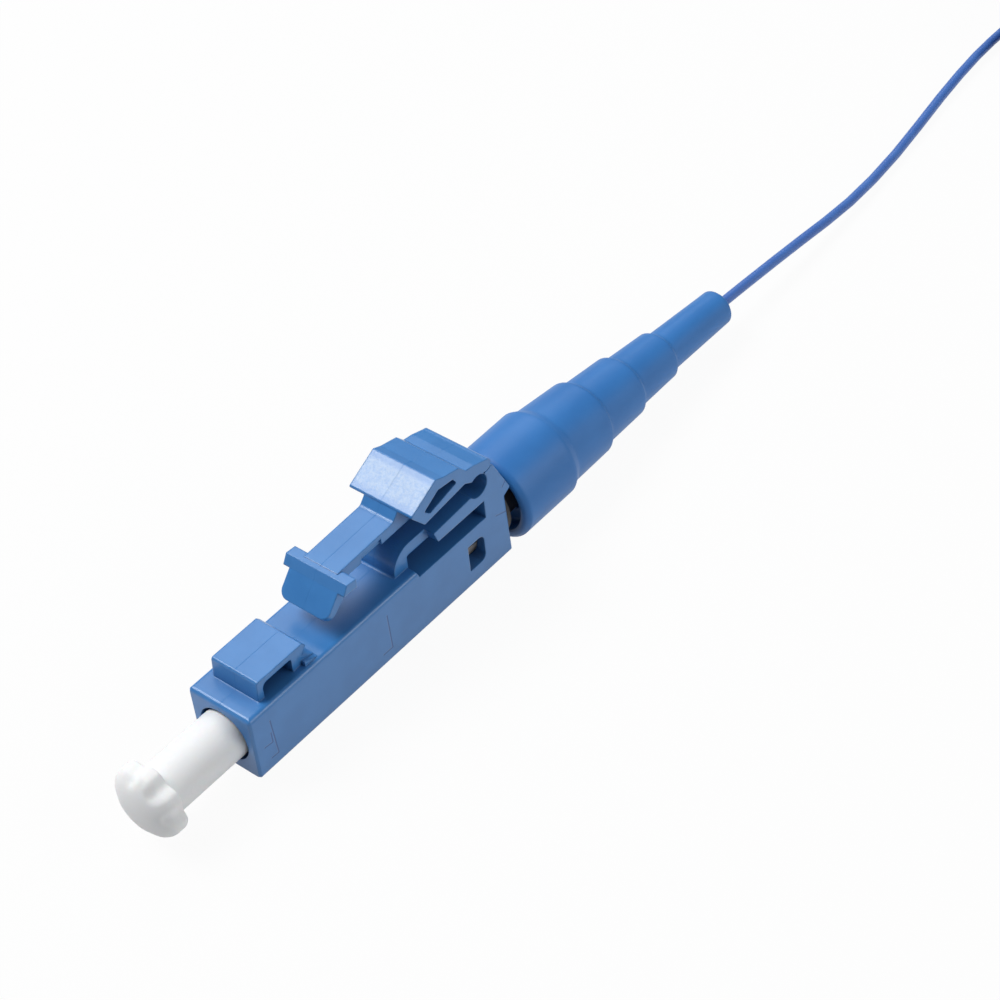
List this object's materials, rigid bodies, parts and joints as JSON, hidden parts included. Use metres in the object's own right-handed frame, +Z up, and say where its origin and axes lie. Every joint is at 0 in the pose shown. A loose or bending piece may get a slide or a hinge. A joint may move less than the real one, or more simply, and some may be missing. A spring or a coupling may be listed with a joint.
{
  "type": "lc fibre connector",
  "caption": "Simplex fibre optic connector with a square latched plug, dust cap, stepped strain relief boot and a thin buffered fibre.",
  "frame": {"origin": "centre of the plug housing's front face, on the ferrule's axis", "axes": "+Y along the ferrule's axis towards the boot and fibre, +Z up through the latch, +X to the plug's side; the plug lies on its boot with the latch on top"},
  "size_m": [0.0103, 0.1043, 0.0103],
  "materials": {
    "blue_plastic": "gloss",
    "blue_rubber": "satin",
    "white_plastic": "satin",
    "ceramic": "polished",
    "plated_metal": "satin",
    "spring_steel": "polished",
    "fibre_buffer": "satin",
    "white_tie": "matte"
  },
  "bodies": {
    "plug": {"plug_housing": "blue_plastic", "back_post": "plated_metal", "ferrule_spring": "spring_steel", "strain_relief_boot": "blue_rubber", "fibre_lead_in": "fibre_buffer", "fibre_cable": "fibre_buffer", "fibre_coil": "fibre_buffer", "coil_tie": "white_tie"},
    "latch": {"latch_lever": "blue_plastic"},
    "ferrule_group": {"ferrule": "ceramic", "ferrule_holder": "plated_metal"},
    "cap": {"dust_cap": "white_plastic"}
  },
  "joints": [
    {"name": "latch_press", "type": "hinge", "parent": "plug", "child": "latch", "pos_m": [0, 0.01975, 0.0054], "axis": [1, 0, 0], "range_deg": [0, 4], "stiffness_Nm_per_rad": 0.05},
    {"name": "ferrule_float", "type": "slide", "parent": "plug", "child": "ferrule_group", "axis": [0, 1, 0], "range_m": [0, 0.0008], "stiffness_N_per_m": 1000, "deforming": ["ferrule_spring"]},
    {"name": "cap_pull", "type": "slide", "parent": "plug", "child": "cap", "axis": [0, -1, 0], "range_m": [0, 0.009]}
  ]
}
